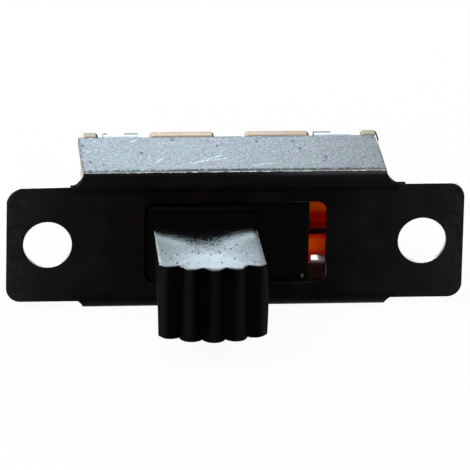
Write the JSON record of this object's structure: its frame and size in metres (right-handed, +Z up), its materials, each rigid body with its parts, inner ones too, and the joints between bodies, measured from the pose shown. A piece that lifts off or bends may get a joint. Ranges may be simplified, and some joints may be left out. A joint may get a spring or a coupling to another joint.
{
  "type": "slide switch",
  "caption": "Panel slide switch: folded metal frame with two mounting ears, a tall ribbed sliding knob, a clinched terminal board and rows of solder lugs.",
  "frame": {"origin": "middle of the mounting face, halfway between the two mounting holes", "axes": "+X along the slide from the knob's rest end to the other, -Y out of the panel along the knob, +Z up; the switch lies on its lower side wall"},
  "size_m": [0.0348, 0.0285, 0.011],
  "materials": {
    "frame_steel": "matte black paint on the mounting face, plated steel on the side walls",
    "board_laminate": "translucent amber paper laminate with pale fibrous edges",
    "terminal_brass": "tinned brass, dull",
    "slider_plastic": "black moulded plastic, glossy flanks",
    "clip_bronze": "spring bronze, satin",
    "detent_steel": "bright steel"
  },
  "bodies": {
    "housing": {"frame": "frame_steel", "terminal_board": "board_laminate", "terminal_1": "terminal_brass", "terminal_2": "terminal_brass", "terminal_3": "terminal_brass", "terminal_4": "terminal_brass", "terminal_5": "terminal_brass", "terminal_6": "terminal_brass"},
    "carriage": {"slider": "slider_plastic", "contact_clip_top": "clip_bronze", "contact_clip_bottom": "clip_bronze", "detent_ball": "detent_steel", "detent_spring": "detent_steel"}
  },
  "joints": [
    {"name": "knob_slide", "type": "slide", "parent": "housing", "child": "carriage", "axis": [1, 0, 0], "range_m": [0, 0.0052]}
  ]
}
